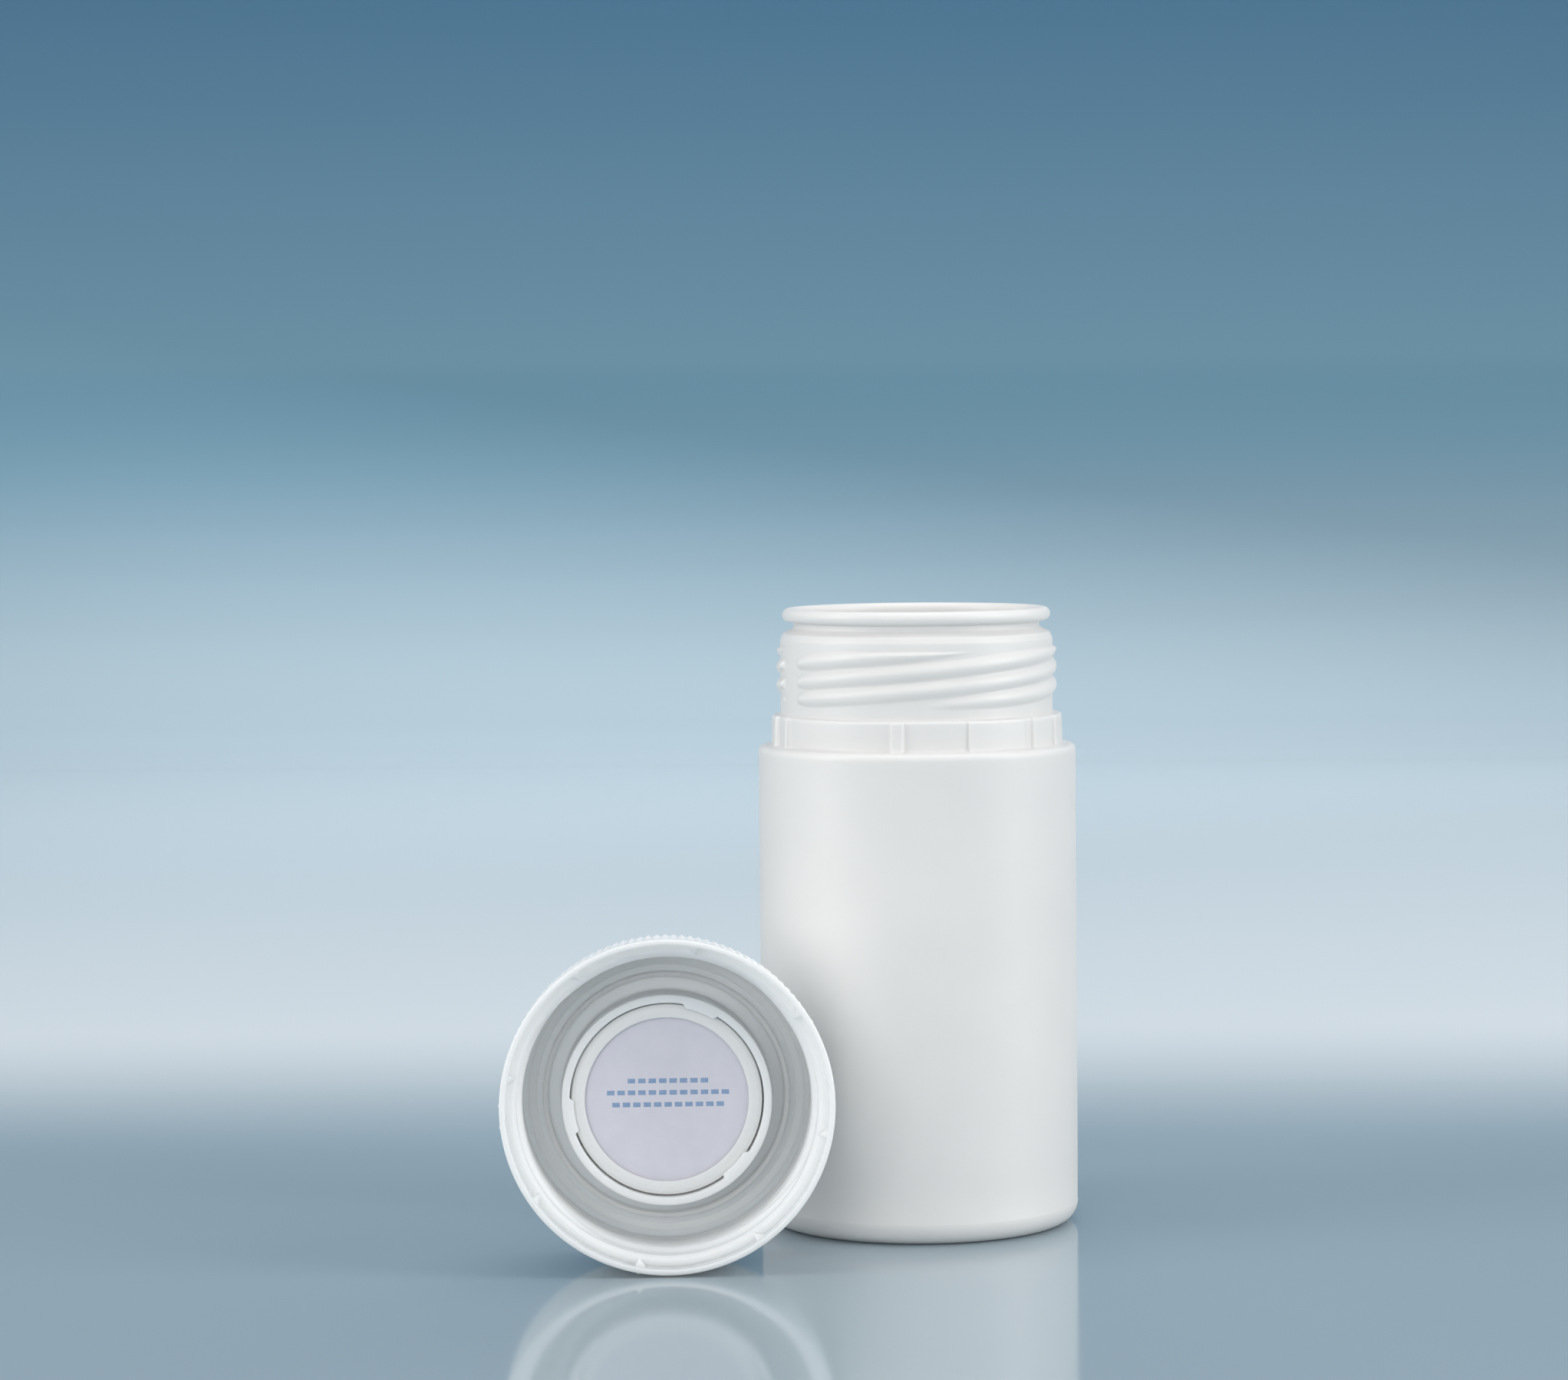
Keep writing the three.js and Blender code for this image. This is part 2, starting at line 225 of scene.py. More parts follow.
def refined(points, spacing, closed=False):
    """The outline with more points: spacing(radius, z) is the widest step there."""
    ends = points[1:] + (points[:1] if closed else [])
    result = []
    for a, b in zip(points, ends):
        length = float(np.linalg.norm(b - a))
        pieces = max(1, math.ceil(length / spacing(*((a + b) / 2))))
        shares = set(np.linspace(0, 1, pieces + 1)[:-1])
        if length > 4 * HOLD:
            shares |= {HOLD / length, 1 - HOLD / length}
        result += [a + (b - a) * share for share in sorted(shares)]
    if not closed:
        result.append(points[-1])
    return np.array(result)


# ---------------------------------------------------------------- meshes


def revolved(name, outline, angles, place, closed=False, shift=None):
    """A closed mesh turned about z: shift(degrees, r, z) gives what to add to r and z.

    closed joins the outline's last point to its first; otherwise both ends are on the axis.
    """
    rows, columns = len(outline), len(angles)
    theta = np.radians(angles)[None, :]
    r = np.repeat(outline[:, 0][:, None], columns, axis=1)
    z = np.repeat(outline[:, 1][:, None], columns, axis=1)
    if shift is not None:
        add_r, add_z = shift(np.broadcast_to(angles, r.shape), r, z)
        r = r + add_r
        z = z + add_z
    points = np.stack((r * np.cos(theta), r * np.sin(theta), z), axis=-1).reshape(-1, 3)
    index = np.arange(rows * columns).reshape(rows, columns)
    if not closed:
        index[0, :] = index[0, 0]
        index[-1, :] = index[-1, 0]
    lower = index if closed else index[:-1]
    upper = np.roll(index, -1, axis=0) if closed else index[1:]
    quads = np.stack((lower, np.roll(lower, -1, axis=1), np.roll(upper, -1, axis=1), upper), axis=-1)
    faces = [list(dict.fromkeys(quad)) for quad in quads.reshape(-1, 4).tolist()]
    return mesh_object(name, points, faces, place)


def mesh_object(name, points, faces, place):
    """A smooth mesh object whose place in the row frame is in its vertices."""
    used = sorted({corner for face in faces for corner in face})
    number = {old: new for new, old in enumerate(used)}
    mesh = bpy.data.meshes.new(name)
    mesh.from_pydata(points[used].tolist(), [], [[number[c] for c in face] for face in faces])
    mesh.transform(place)
    mesh.update()
    mesh.shade_smooth()
    piece = bpy.data.objects.new(name, mesh)
    bpy.context.scene.collection.objects.link(piece)
    return piece


def even_angles(count, extra=()):
    """Column angles in degrees: evenly spaced, with closer ones where an edge needs them."""
    angles = list(np.arange(count) * 360.0 / count)
    return np.array(sorted({round(a % 360, 4) for a in angles + list(extra)}))


def smoothstep(x, low, high):
    t = np.clip((x - low) / (high - low), 0, 1)
    return t * t * (3 - 2 * t)


def window(x, low, high, edge):
    """1 between low and high, falling smoothly to 0 over edge outside them."""
    return smoothstep(x, low - edge, low) * (1 - smoothstep(x, high, high + edge))


def angle_window(degrees, middle, half_width, edge):
    """A window round an angle, whichever way round the circle it is reached."""
    away = np.abs((degrees - middle + 180) % 360 - 180)
    return 1 - smoothstep(away, half_width - edge / 2, half_width + edge / 2)


def thread_height(degrees, z, first, half_width, level=0.0):
    """Share of full thread height, from 0 to 1, at each angle and height."""
    first_angle, first_z = first
    height = np.zeros_like(z)
    for start in range(THREAD_STARTS):
        along = (degrees - first_angle - 360.0 / THREAD_STARTS * start) % 360
        share = along / THREAD_TURN
        rise = np.clip(np.minimum(share / THREAD_GROWS, (1 - share) / THREAD_FADES), 0, 1)
        grown = np.sin(rise * math.pi / 2)
        raised = level * (1 - smoothstep(along, 0, THREAD_SETTLES))
        middle = first_z + THREAD_LEAD * along / 360 + raised
        off = (z - middle) / (half_width * (0.35 + 0.65 * grown))
        bump = np.clip(1 - off**2, 0, None) ** 1.25
        height = np.maximum(height, bump * grown)
    return height


# ---------------------------------------------------------------- container


def container_outline():
    inner = BODY_RADIUS - BODY_WALL
    corners = [
        (0, 0.3, 0),
        (1.0, 0.3, 0.15),
        (1.3, 0, 0.15),
        (CENTRE_FLAT, 0, 0.4),
        (CENTRE_FLAT + 1.2, BASE_RECESS, 0.5),
        (STANDING_RING - 1.2, BASE_RECESS, 0.5),
        (STANDING_RING, 0, 0.4),
        *arc((BODY_RADIUS - BASE_ROUND, BASE_ROUND), BASE_ROUND, -90, 0, 14),
        (BODY_RADIUS, SHOULDER_Z - 0.2, 1.1),
        (RATCHET_RADIUS, SHOULDER_Z + 0.05, 0.5),
        (RATCHET_RADIUS, RATCHET_TOP_Z, 0.6),
        (NECK_RADIUS, RATCHET_TOP_Z, 0.4),
        (NECK_RADIUS, NECK_TOP_Z, 0.9),
        (NECK_RADIUS - 0.45, NECK_TOP_Z + 0.95, 0.5),
        (GROOVE_RADIUS, GROOVE_Z[0], 0.5),
        (GROOVE_RADIUS, GROOVE_Z[1], 0.2),
        *arc(LIP_BEAD_CENTRE, LIP_BEAD_RADIUS, -62, 180, 20),
        (BORE_RADIUS, NECK_TOP_Z, 0.8),
        (NECK_INNER, NECK_TOP_Z - 2.2, 0.8),
        (NECK_INNER, SHOULDER_Z - 1.2, 1.0),
        (inner, SHOULDER_Z - 1.6, 1.5),
        (inner, BODY_FLOOR, 2.3),
        (0, BODY_FLOOR, 0),
    ]

    def spacing(r, z):
        if r > NECK_RADIUS - 0.1 and RATCHET_TOP_Z + 0.2 < z < NECK_TOP_Z + 0.2:
            return 0.15
        if r > NECK_RADIUS and SHOULDER_Z - 1 < z < RATCHET_TOP_Z + 0.1:
            return 0.3
        if r > BODY_RADIUS - 0.1 and abs(z - BASE_SEAM_Z) < 0.5:
            return 0.06
        return 6.0

    return refined(rounded(corners), spacing)


def neck_thread_width(front):
    """The ridges are narrower beside the smooth strips, and over a longer way before them."""
    width = np.full_like(front, NECK_THREAD_HALF_WIDTH)
    for gap in NECK_THREAD_GAPS:
        past = (front - gap + 180) % 360 - 180
        width = width * (1 - NECK_THREAD_NARROWED * window(past, -12, 5, 12))
    return width


def container_shift(degrees, r, z):
    """Threads, ratchet blocks, the seam of the base and the slight unevenness of the wall."""
    front = degrees + 90
    outside = r > NECK_RADIUS - 0.05
    width = neck_thread_width(front)
    thread = thread_height(front, z, NECK_THREAD_FIRST, width, NECK_THREAD_LEVEL)
    thread = thread * window(z, *NECK_THREAD_Z, 0.45)
    for gap in NECK_THREAD_GAPS:
        thread = thread * (1 - angle_window(front, gap, NECK_THREAD_GAP_WIDTH / 2, 3.0))
    on_neck = outside & (z > RATCHET_TOP_Z + 0.1) & (z < NECK_TOP_Z + 0.3)
    add_r = np.where(on_neck, thread * (NECK_THREAD_CREST - NECK_RADIUS), 0.0)

    block = np.zeros_like(z)
    for start, end, start_radius, end_radius in RATCHET_BLOCKS:
        middle, half = (start + end) / 2, (end - start) / 2
        for turn in (0, 180):
            past = (front - middle - turn + 180) % 360 - 180
            share = np.clip((past + half) / (2 * half), 0, 1)
            radius = start_radius + (end_radius - start_radius) * share
            here = angle_window(front, middle + turn, half, 1.0) * (radius - RATCHET_RADIUS)
            block = np.maximum(block, here)
    block = block * (1 - BLOCK_DRAFT * (z - SHOULDER_Z))
    reach = smoothstep(r, NECK_RADIUS + 0.1, RATCHET_RADIUS - 0.1)
    reach = reach * (1 - smoothstep(r, RATCHET_RADIUS + 0.05, RATCHET_RADIUS + 1.4))
    on_ring = outside & (z > SHOULDER_Z - 0.4) & (z < RATCHET_TOP_Z + 0.05)
    add_r = add_r + np.where(on_ring, block * reach, 0.0)

    on_wall = (r > BODY_RADIUS - 0.01) & (z > 6) & (z < SHOULDER_Z - 3)
    waver = WALL_WAVER * np.sin(np.radians(2 * degrees + 40) + z / 17) * window(z, 14, 66, 8)
    at_seam = (r > BODY_RADIUS - 0.1) & (np.abs(z - BASE_SEAM_Z) < 0.5)
    seam = BASE_SEAM_DEPTH * np.exp(-(((z - BASE_SEAM_Z) / BASE_SEAM_WIDTH) ** 2))
    add_r = add_r + np.where(on_wall, waver - WALL_DRAWN_IN, 0.0) - np.where(at_seam, seam, 0.0)
    return add_r, np.zeros_like(z)


def container_angles():
    edges = []
    for start, end, *_ in RATCHET_BLOCKS:
        for turn in (0, 180):
            for edge in (start, end):
                edges += [edge + turn - 90 + step for step in (-0.5, -0.25, 0.0, 0.25, 0.5)]
    return even_angles(360, edges)


def make_container():
    piece = revolved("vial_container", container_outline(), container_angles(), CONTAINER_PLACE,
                     shift=container_shift)
    return finish_piece(piece, "container", "container_plastic", ["container"])


# ---------------------------------------------------------------- closure


def taper_at(z):
    return z * math.tan(CLOSURE_TAPER)


def shell_outline():
    skirt_z = RING_HEIGHT + RING_SLIT
    root = KNURL_CREST - KNURL_DEPTH
    panel_z = CLOSURE_HEIGHT - PANEL_DEPTH
    gate_z = panel_z - GATE_DEPTH
    corners = [
        (0, CLOSURE_CEILING, 0),
        (CHAMBER_INNER, CLOSURE_CEILING, 0.5),
        (CHAMBER_INNER, CHAMBER_RIM_Z, 0.35),
        (CHAMBER_OUTER, CHAMBER_RIM_Z, 0.3),
        (CHAMBER_OUTER + 0.15, CLOSURE_CEILING, 0.5),
        (PLUG_INNER - 0.05, CLOSURE_CEILING, 0.4),
        (PLUG_INNER, PLUG_FRONT_Z, 0.2),
        (PLUG_OUTER, PLUG_FRONT_Z, 0.2),
        (PLUG_OUTER + 0.05, CLOSURE_CEILING, 0.3),
        (SEAT_INNER - 0.05, CLOSURE_CEILING, 0.15),
        (SEAT_INNER, CLOSURE_CEILING - SEAT_DEPTH, 0.12),
        (SEAT_OUTER, CLOSURE_CEILING - SEAT_DEPTH, 0.2),
        (SEAT_OUTER + 0.4, CLOSURE_CEILING, 0.2),
        (PLAIN_WALL, CLOSURE_CEILING, 0.5),
        (PLAIN_WALL, PLAIN_WALL_Z, 0.6),
        (CLOSURE_THREAD_ROOT, CLOSURE_THREAD_END_Z, 0.6),
        (CLOSURE_THREAD_ROOT, skirt_z + 0.7, 0.3),
        (CLOSURE_THREAD_ROOT + 0.5, skirt_z, 0.15),
        (root - taper_at(skirt_z) - 0.05, skirt_z, 0.2),
        (root - taper_at(CLOSURE_HEIGHT), CLOSURE_HEIGHT, 1.1),
        (PANEL_RADIUS + 0.3, CLOSURE_HEIGHT, 0.2),
        (PANEL_RADIUS, panel_z, 0.2),
        (GATE_RADIUS + 0.3, panel_z, 0.2),
        (GATE_RADIUS, gate_z, 0.2),
        (0.8, gate_z, 0.1),
        (0.7, gate_z + 0.2, 0.1),
        (0, gate_z + 0.2, 0),
    ]

    def spacing(r, z):
        if abs(r - CLOSURE_THREAD_ROOT) < 0.1 and z < 16:
            return 0.2
        if r < CHAMBER_INNER + 0.1 and CHAMBER_RIM_Z < z < CHAMBER_RIM_Z + 2:
            return 0.25
        return 5.0

    return refined(rounded(corners), spacing)


def shell_shift(degrees, r, z):
    """Knurls outside, threads inside, snap bumps in the chamber."""
    skirt_z = RING_HEIGHT + RING_SLIT
    outside = r > SKIRT_MIDDLE
    rib = np.abs(np.cos(np.radians(degrees) * KNURL_COUNT / 2))
    reach = window(z, skirt_z + 0.9, CLOSURE_HEIGHT - 1.6, 0.7)
    add_r = np.where(outside, KNURL_DEPTH * rib * reach, 0.0)

    in_thread = (np.abs(r - CLOSURE_THREAD_ROOT) < 0.9) & (z > skirt_z + 0.6) & (z < PLAIN_WALL_Z)
    thread = thread_height(degrees, z, CLOSURE_THREAD_FIRST, CLOSURE_THREAD_HALF_WIDTH)
    height = CLOSURE_THREAD_ROOT - CLOSURE_THREAD_CREST
    add_r = add_r - np.where(in_thread, np.minimum(thread * height, r - CLOSURE_THREAD_CREST), 0.0)

    at_snap = (r < CHAMBER_INNER + 0.25) & (r > CHAMBER_INNER - 0.1) & (z < CHAMBER_RIM_Z + 2)
    bump = np.zeros_like(z)
    for middle in SNAP_ANGLES:
        bump = np.maximum(bump, angle_window(degrees, middle, SNAP_HALF_WIDTH, 2.0))
    bump = bump * window(z, CHAMBER_RIM_Z - 1, CHAMBER_RIM_Z + 0.9, 0.7)
    return add_r - np.where(at_snap, bump * (CHAMBER_INNER - SNAP_INNER), 0.0), np.zeros_like(z)


def make_closure_shell():
    outline = shell_outline()
    piece = revolved("closure_cap_shell", outline, even_angles(KNURL_COUNT * 6), CLOSURE_PLACE,
                     shift=shell_shift)
    return finish_piece(piece, "closure", "closure_plastic", ["closure_shell"])


def ring_outline():
    back = RING_HEIGHT
    corners = [
        (RING_INNER, 0.0, 0.25),
        (RIM_RADIUS, 0.0, 0.45),
        (RIM_RADIUS - taper_at(back), back, 0.2),
        (RING_INNER, back, 0.15),
    ]
    return refined(rounded(corners, closed=True), lambda r, z: 0.3, closed=True)


def ring_shift(degrees, r, z):
    """Wedge lugs inside, bridges to the skirt behind, and the nibs that moulding leaves."""
    add_r = np.zeros_like(z)
    inner_wall = np.abs(r - RING_INNER) < 0.12
    for i in range(LUG_COUNT):
        away = (degrees - LUG_FIRST - 360.0 / LUG_COUNT * i + 180) % 360 - 180
        wedge = np.clip((LUG_HALF_WIDTH + away) / (2 * LUG_HALF_WIDTH), 0, 1)
        wedge = wedge * (1 - smoothstep(away, LUG_HALF_WIDTH, LUG_HALF_WIDTH + 0.5))
        shape = wedge * window(z, *LUG_Z, 0.45)
        add_r = add_r - np.where(inner_wall, shape * (RING_INNER - LUG_INNER), 0.0)

    outer_wall = r > RIM_RADIUS - 0.5
    for middle in NIB_ANGLES:
        nib = angle_window(degrees, middle, 0.45, 0.7) * window(z, 0.5, 0.9, 0.3)
        add_r = add_r + np.where(outer_wall, NIB_HEIGHT * nib, 0.0)

    back = (z > RING_HEIGHT - 0.05) & (r > BRIDGE_RADII[0]) & (r < BRIDGE_RADII[1])
    add_z = np.zeros_like(z)
    for i in range(2 * LUG_COUNT):
        bridge = angle_window(degrees, 360.0 / (2 * LUG_COUNT) * (i + 0.5) + LUG_FIRST, 0.6, 0.5)
        add_z = add_z + np.where(back, RING_SLIT * bridge, 0.0)
    return add_r, add_z


def make_tamper_ring():
    piece = revolved("closure_tamper_band", ring_outline(), even_angles(720), CLOSURE_PLACE,
                     closed=True, shift=ring_shift)
    return finish_piece(piece, "closure", "closure_plastic", ["tamper_ring"])


def make_canister():
    corners = [
        (0, CANISTER_BACK_Z - CANISTER_WALL_BACK, 0),
        (CANISTER_INNER, CANISTER_BACK_Z - CANISTER_WALL_BACK, 0.5),
        (CANISTER_INNER, CANISTER_FRONT_Z + 0.7, 0.1),
        (CANISTER_LIP_INNER, CANISTER_FRONT_Z + 0.7, 0.1),
        (CANISTER_LIP_INNER, CANISTER_FRONT_Z, 0.3),
        (CANISTER_FACE[0], CANISTER_FRONT_Z, 0.3),
        (CANISTER_FACE[1], CANISTER_FRONT_Z + 0.12, 0.4),
        (CANISTER_FLANGE, CANISTER_FRONT_Z + 0.5, 0.4),
        (CANISTER_FLANGE, CANISTER_FRONT_Z + 1.2, 0.3),
        (CANISTER_RADIUS, CANISTER_FRONT_Z + 1.6, 0.3),
        (CANISTER_RADIUS, CANISTER_BACK_Z, 0.8),
        (0, CANISTER_BACK_Z, 0),
    ]
    outline = refined(rounded(corners), lambda r, z: 3.0)
    piece = revolved("desiccant_cup", outline, even_angles(256), CLOSURE_PLACE)
    return finish_piece(piece, "closure_canister", "canister_plastic", ["desiccant_canister"])


def make_card():
    """A punched card, very slightly cockled as damp card is."""
    back = CARD_FRONT_Z + CARD_THICKNESS
    corners = [
        (0, CARD_FRONT_Z, 0),
        (CARD_RADIUS, CARD_FRONT_Z, 0.06),
        (CARD_RADIUS, back, 0.06),
        (0, back, 0),
    ]

    def cockle(degrees, r, z):
        wave = 0.03 * np.sin(np.radians(2 * degrees + 70)) + 0.02 * np.sin(np.radians(3 * degrees))
        return np.zeros_like(r), wave * (r / CARD_RADIUS) ** 2

    outline = refined(rounded(corners), lambda r, z: 0.8)
    piece = revolved("desiccant_card", outline, even_angles(192), CLOSURE_PLACE, shift=cockle)
    return finish_piece(piece, "closure", "card", ["card_disc"])


def bead_piece(name, nodes, body):
    """Smooth, slightly uneven beads in one piece, at the places of the CAD beads."""
    rng = np.random.default_rng(BEAD_SEED)
    points, faces = [], []
    rings, columns = BEAD_RINGS, BEAD_COLUMNS
    for node in nodes:
        low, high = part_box(node)
        centre = (low + high) / 2
        radius = (high.x - low.x) / 2
        first = len(points)
        squeeze = 1 - BEAD_UNEVENNESS * rng.random(3)
        for i in range(rings + 1):
            polar = math.pi * i / rings
            for j in range(columns if 0 < i < rings else 1):
                turn = 2 * math.pi * j / columns
                out = Vector((math.sin(polar) * math.cos(turn), math.sin(polar) * math.sin(turn),
                              math.cos(polar)))
                points.append(centre + Vector(squeeze * np.array(out)) * radius)
        row = [first] + [first + 1 + columns * i for i in range(rings)]
        for i in range(rings):
            for j in range(columns):
                k = (j + 1) % columns
                if i == 0:
                    faces.append([first, row[1] + j, row[1] + k])
                elif i == rings - 1:
                    faces.append([row[i] + j, row[rings], row[i] + k])
                else:
                    faces.append([row[i] + j, row[i + 1] + j, row[i + 1] + k, row[i] + k])
    piece = mesh_object(name, np.array([tuple(p) for p in points]), faces, Matrix.Identity(4))
    return finish_piece(piece, body, "desiccant", nodes)


def make_beads():
    names = sorted(name for name in frame["nodes"] if name.startswith("desiccant_bead_"))
    bead_piece("desiccant_bead_middle", names[:1], "closure_centre")
    bead_piece("desiccant_bead_fill", names[1:], "closure")


# ---------------------------------------------------------------- materials


class Shader:
    """A material's node tree, with short calls for the nodes used here."""

    def __init__(self, name):
        self.material = bpy.data.materials.new(name)
        self.material.use_nodes = True
        self.tree = self.material.node_tree
        self.surface = self.tree.nodes["Principled BSDF"]
        self.place = self.add("ShaderNodeTexCoord").outputs["Object"]

    def add(self, kind, **settings):
        node = self.tree.nodes.new(kind)
        for key, value in settings.items():
            setattr(node, key, value)
        return node

    def feed(self, socket, value):
        if isinstance(value, bpy.types.NodeSocket):
            self.tree.links.new(value, socket)
        else:
            socket.default_value = value

    def noise(self, scale, detail=3.0, roughness=0.5, place=None):
        node = self.add("ShaderNodeTexNoise")
        self.feed(node.inputs["Vector"], place or self.place)
        self.feed(node.inputs["Scale"], scale)
        self.feed(node.inputs["Detail"], detail)
        self.feed(node.inputs["Roughness"], roughness)
        return node.outputs["Fac"]

    def math(self, operation, a, b=0.0, clamp=False):
        node = self.add("ShaderNodeMath", operation=operation, use_clamp=clamp)
        self.feed(node.inputs[0], a)
        self.feed(node.inputs[1], b)
        return node.outputs[0]

    def remap(self, value, low, high, to_low, to_high, kind="LINEAR"):
        node = self.add("ShaderNodeMapRange", interpolation_type=kind)
        for socket, number in zip(node.inputs, (value, low, high, to_low, to_high)):
            self.feed(socket, number)
        return node.outputs["Result"]

    def mix(self, share, a, b):
        node = self.add("ShaderNodeMix", data_type="RGBA")
        self.feed(node.inputs["Factor"], share)
        self.feed(node.inputs["A"], (*a, 1) if isinstance(a, tuple) else a)
        self.feed(node.inputs["B"], (*b, 1) if isinstance(b, tuple) else b)
        return node.outputs["Result"]

    def distance_along(self, origin, direction):
        """Millimetres from origin along direction."""
        node = self.add("ShaderNodeVectorMath", operation="SUBTRACT")
        self.feed(node.inputs[0], self.place)
        self.feed(node.inputs[1], origin)
        product = self.add("ShaderNodeVectorMath", operation="DOT_PRODUCT")
        self.feed(product.inputs[0], node.outputs["Vector"])
        self.feed(product.inputs[1], direction / MM)
        return product.outputs["Value"]

    def near(self, value, middle, reach, edge):
        """1 within reach of the middle, falling to 0 over edge."""
        away = self.math("ABSOLUTE", self.math("SUBTRACT", value, middle))
        return self.remap(away, reach - edge / 2, reach + edge / 2, 1, 0)

    def bump(self, height, distance, strength=1.0, normal=None):
        node = self.add("ShaderNodeBump")
        self.feed(node.inputs["Height"], height)
        self.feed(node.inputs["Distance"], distance)
        self.feed(node.inputs["Strength"], strength)
        if normal is not None:
            self.feed(node.inputs["Normal"], normal)
        return node.outputs["Normal"]

    def set(self, **sockets):
        for key, value in sockets.items():
            self.feed(self.surface.inputs[key.replace("_", " ")], value)


def moulded_plastic(name, light, shade, roughness, subsurface, depth, thin_wall_shade=None,
                    peel_strength=0.35):
    """Satin polyethylene: cloudy whites, uneven gloss, a fine mould texture, light inside it.

    The closure's rim and closed end are darkened towards a further given tone: painted shade, standing in for
    light that passes through the slender walls there.
    """
    s = Shader(name)
    cloud = s.noise(45, 2.0)
    fine = s.noise(1400, 4.0, 0.6)
    peel = s.noise(260, 2.0)
    smudge = s.noise(70, 5.0, 0.65)
    color = s.mix(s.remap(cloud, 0.35, 0.65, 0, 1), light, shade)
    # painted shade: the closure darkened towards its rim and its closed end, for light that passes through the
    # slender walls there
    if thin_wall_shade is not None:
        along = CLOSURE_PLACE.col[2].to_3d().normalized()
        depth_in = s.distance_along(CLOSURE_PLACE.translation, along)
        rim_shade = s.remap(depth_in, 1.0, 8.0, 1, 0)
        end_shade = s.remap(depth_in, CLOSURE_CEILING - 1.6, CLOSURE_CEILING - 0.6, 0, 1)
        color = s.mix(s.math("ADD", rim_shade, end_shade, clamp=True), color, thin_wall_shade)
    s.set(
        Base_Color=color,
        Roughness=s.remap(smudge, 0.3, 0.7, roughness - 0.05, roughness + 0.07),
        Normal=s.bump(fine, 0.00002, 0.5, s.bump(peel, 0.00008, peel_strength)),
        Subsurface_Weight=subsurface,
        Subsurface_Radius=(1.0, 0.95, 0.9),
        Subsurface_Scale=depth,
        IOR=1.5,
    )
    return s.material


def printed_card(name):
    """Lilac-grey card with paper fibre, and three rows of print as plain blue dashes."""
    s = Shader(name)
    fibre = s.noise(2600, 6.0, 0.7)
    blotch = s.noise(380, 3.0)
    paper = s.mix(s.remap(blotch, 0.3, 0.7, 0, 1), (0.700, 0.690, 0.760), (0.670, 0.665, 0.735))
    centre = CLOSURE_PLACE @ Vector((0, 0, CARD_FRONT_Z))
    right, down = (CLOSURE_PLACE.col[i].to_3d().normalized() for i in (0, 1))
    across = s.distance_along(centre, right)
    below = s.distance_along(centre, down)
    ink = None
    for row_below, dashes in PRINT_ROWS:
        half_length = dashes * PRINT_PITCH / 2
        in_row = s.near(below, row_below, PRINT_HALF_HEIGHT, 0.06)
        in_length = s.near(across, PRINT_MIDDLE, half_length, 0.06)
        past_start = s.math("SUBTRACT", across, PRINT_MIDDLE - half_length)
        dash = s.math("FRACT", s.math("DIVIDE", past_start, PRINT_PITCH))
        in_dash = s.near(dash, 0.5, PRINT_SHARE / 2, 0.06)
        row = s.math("MULTIPLY", s.math("MULTIPLY", in_row, in_length), in_dash)
        ink = row if ink is None else s.math("ADD", ink, row, clamp=True)
    faded = s.math("MULTIPLY", ink, s.remap(fibre, 0.3, 0.7, 0.75, 1.0))
    s.set(
        Base_Color=s.mix(faded, paper, (0.200, 0.320, 0.520)),
        Roughness=0.85,
        Normal=s.bump(fibre, 0.00005, 0.6),
    )
    return s.material


def silica_gel(name):
    s = Shader(name)
    cloud = s.noise(900, 3.0)
    s.set(
        Base_Color=s.mix(cloud, (0.72, 0.69, 0.60), (0.80, 0.78, 0.72)),
        Roughness=0.25,
        Subsurface_Weight=0.6,
        Subsurface_Radius=(1.0, 0.9, 0.7),
        Subsurface_Scale=0.0012,
    )
    return s.material


MATERIALS = {
    "container_plastic": moulded_plastic(
        "hdpe_white", (0.745, 0.738, 0.727), (0.72, 0.716, 0.709), 0.40, 0.4, 0.0020),
    "closure_plastic": moulded_plastic(
        "closure_white", (0.93, 0.94, 0.94), (0.915, 0.93, 0.93), 0.38, 0.9, 0.0050,
        # painted shade for the closure's rim and closed end
        (0.71, 0.725, 0.725), peel_strength=0.12),
    "canister_plastic": moulded_plastic(
        "canister_white", (0.82, 0.82, 0.815), (0.80, 0.805, 0.80), 0.42, 0.35, 0.0015),
    "card": printed_card("card_printed"),
    "desiccant": silica_gel("silica_gel"),
}


def finish_piece(piece, body, slot, nodes):
    """Rides the piece on its body, gives it the finish of its slot, and hides the CAD parts it stands in for."""
    piece.data.materials.append(MATERIALS[slot])
    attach(piece, body)
    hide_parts(*nodes)
    return piece


make_container()
make_closure_shell()
make_tamper_ring()
make_canister()
make_card()
make_beads()

# ---------------------------------------------------------------- studio


# The sweep's measures, in metres.
SWEEP_HALF_WIDTH = 3.0
SWEEP_FRONT = -2.5
SWEEP_BACK = 1.6
SWEEP_HEIGHT = 2.4
SWEEP_BEND = 0.6
SWEEP_STEPS = 16


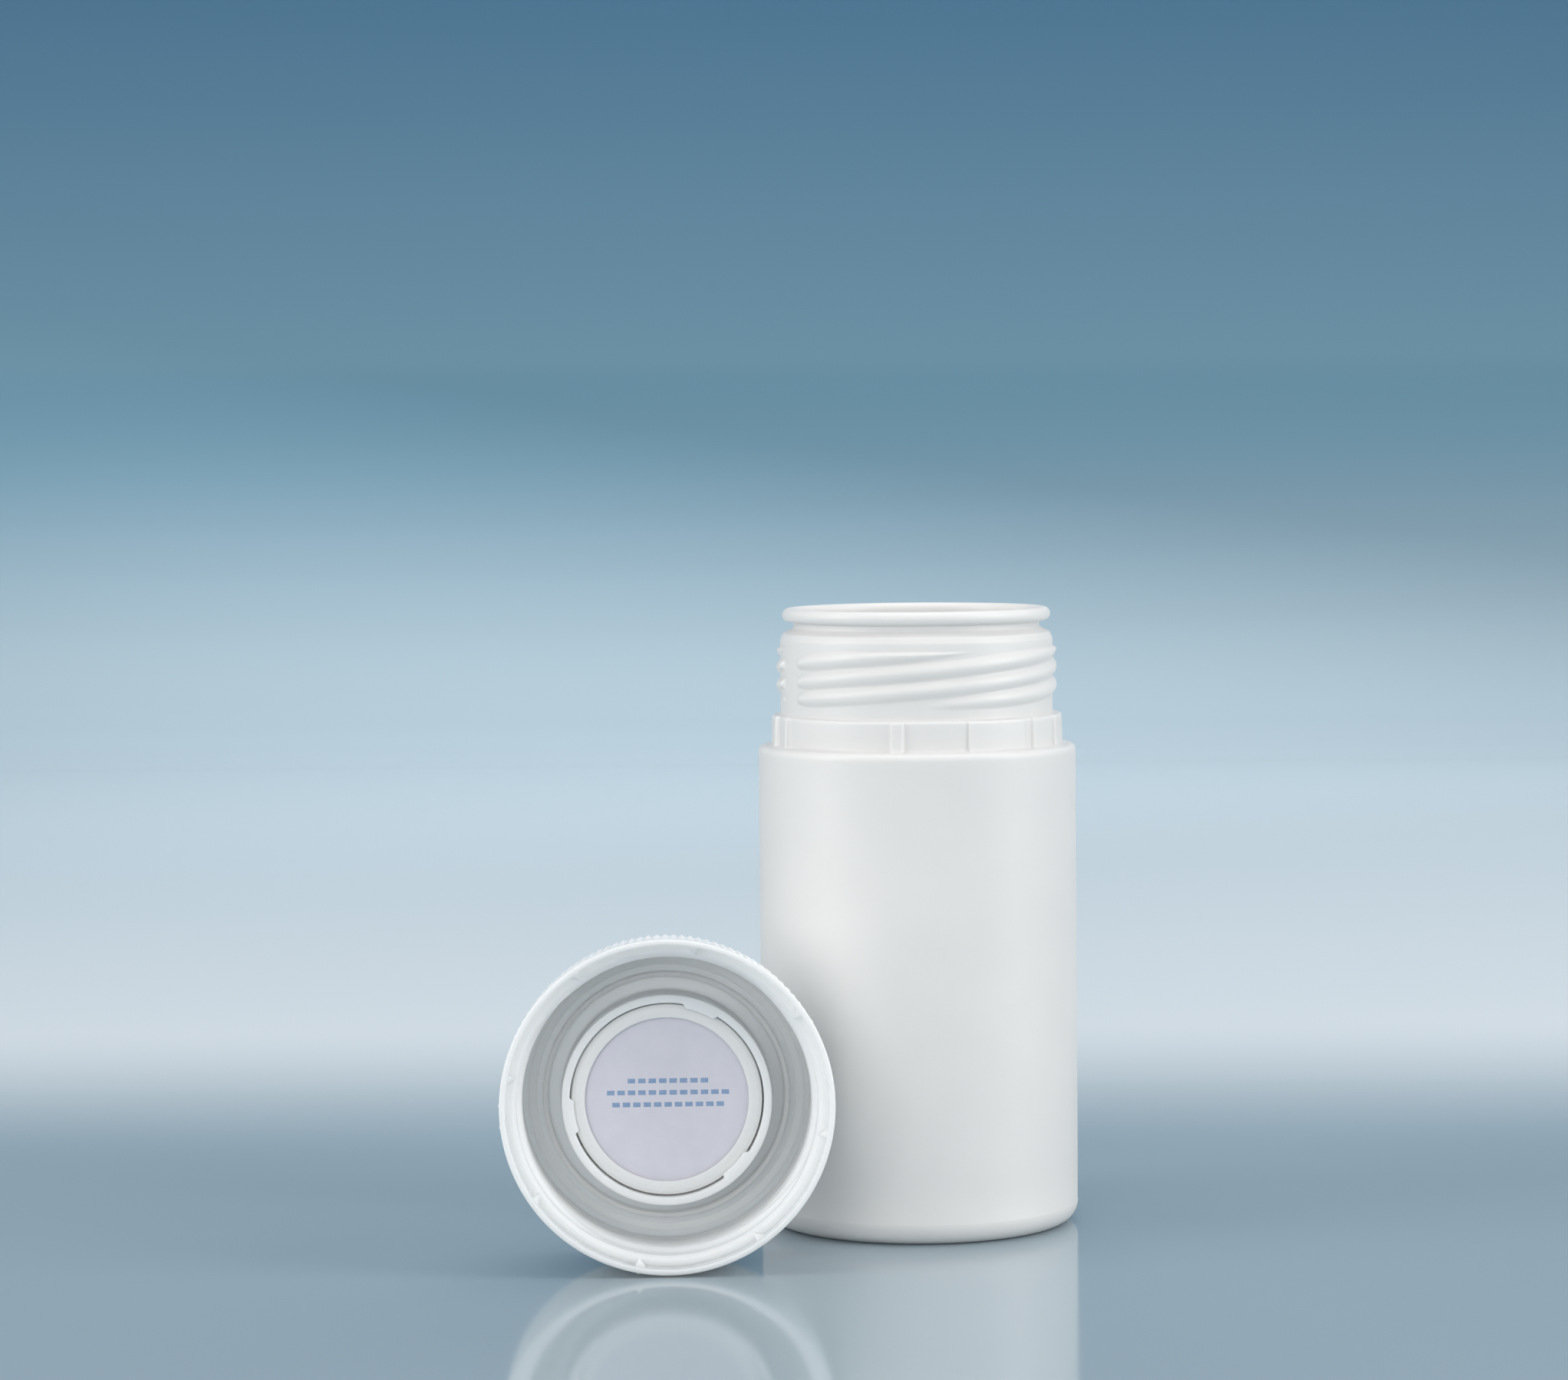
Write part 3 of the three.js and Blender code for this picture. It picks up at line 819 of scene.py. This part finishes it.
def make_floor():
    """A pale sweep: a floor that curves up into a backdrop, bluer towards its top; the blue is its own colour, and
    the tone also carries painted light falloff, lightest just behind the objects and darker towards the front, the
    back and the top.
    """
    s = Shader("pale_sweep")
    place = s.add("ShaderNodeSeparateXYZ")
    s.feed(place.inputs[0], s.place)
    back, up = place.outputs["Y"], place.outputs["Z"]
    tone = s.mix(s.noise(3.0), (0.90, 0.915, 0.925), (0.89, 0.905, 0.92))
    # painted light falloff: lightest in a band just behind the objects, darker towards the front of the floor, its
    # back and up the backdrop; the blue is the sweep's own colour
    for value, start, end, color in (
        (back, 0.2, 1.3, (0.56, 0.67, 0.73)),
        (up, -0.02, 0.16, (0.19, 0.37, 0.48)),
        (up, 0.06, 0.45, (0.05, 0.17, 0.30)),
        (back, 0.24, 0.06, (0.32, 0.395, 0.44)),
    ):
        tone = s.mix(s.remap(value, start, end, 0, 1, "SMOOTHSTEP"), tone, color)
    s.set(Base_Color=tone, Roughness=0.09)
    outline = [(SWEEP_FRONT, 0.0)]
    for i in range(SWEEP_STEPS + 1):
        turn = math.pi / 2 * i / SWEEP_STEPS
        outline.append((SWEEP_BACK - SWEEP_BEND + SWEEP_BEND * math.sin(turn),
                        SWEEP_BEND - SWEEP_BEND * math.cos(turn)))
    outline.append((SWEEP_BACK, SWEEP_HEIGHT))
    sides = (-SWEEP_HALF_WIDTH, SWEEP_HALF_WIDTH)
    points = np.array([(x, y, z) for y, z in outline for x in sides])
    faces = [[2 * i, 2 * i + 1, 2 * i + 3, 2 * i + 2] for i in range(len(outline) - 1)]
    floor = mesh_object("studio_floor", points, faces, Matrix.Identity(4))
    floor.data.materials.append(s.material)


def area_light(name, place, target, size, power, color=(1, 1, 1), mirrored=True):
    """A soft light; one that isn't mirrored leaves no bright patch in the glossy floor."""
    light = bpy.data.lights.new(name, "AREA")
    light.shape = "RECTANGLE"
    light.size, light.size_y = size
    light.energy = power
    light.color = color
    holder = bpy.data.objects.new(name, light)
    holder.location = place
    holder.visible_glossy = mirrored
    holder.rotation_euler = (Vector(target) - Vector(place)).to_track_quat("-Z", "Y").to_euler()
    bpy.context.scene.collection.objects.link(holder)


def make_lights():
    area_light("key_left", (-0.90, -0.30, 0.45), (0, 0, 0.08), (0.45, 0.9), 4.1, (1, 0.99, 0.97))
    area_light("fill_right", (0.90, -0.30, 0.45), (0, 0, 0.08), (0.45, 0.9), 5.2, (1, 0.995, 0.985))
    area_light("top_soft", (0.0, 0.1, 1.1), (0, 0, 0.0), (1.0, 0.8), 2.6)
    area_light("back_soft", (0.3, 1.0, 0.6), (0, 0, 0.03), (1.4, 0.6), 5.5,
               mirrored=False)
    area_light("front_soft", (-0.30, -1.6, 0.35), (-0.04, 0, 0.03), (1.2, 0.6), 8.6,
               mirrored=False)
    world = bpy.data.worlds.new("studio")
    world.use_nodes = True
    background = world.node_tree.nodes["Background"]
    background.inputs["Color"].default_value = (0.965, 0.985, 1.0, 1)
    background.inputs["Strength"].default_value = 0.62
    bpy.context.scene.world = world
    bpy.context.scene.view_settings.view_transform = "Standard"


SENSOR_WIDTH = 36.0
LENS = 99.687
CAMERA_PLACE = (-0.0213, -0.697, 0.1253)
CAMERA_PITCH = math.radians(3.236)
CAMERA_ROLL = math.radians(-0.5)


def make_camera():
    data = bpy.data.cameras.new("camera")
    data.sensor_width = SENSOR_WIDTH
    data.lens = LENS
    data.clip_start, data.clip_end = 0.05, 20.0
    camera = bpy.data.objects.new("camera", data)
    look = Matrix.Rotation(math.pi / 2 - CAMERA_PITCH, 4, "X") @ Matrix.Rotation(CAMERA_ROLL, 4, "Z")
    camera.matrix_world = Matrix.Translation(CAMERA_PLACE) @ look
    bpy.context.scene.collection.objects.link(camera)
    bpy.context.scene.camera = camera


make_floor()
make_lights()
make_camera()
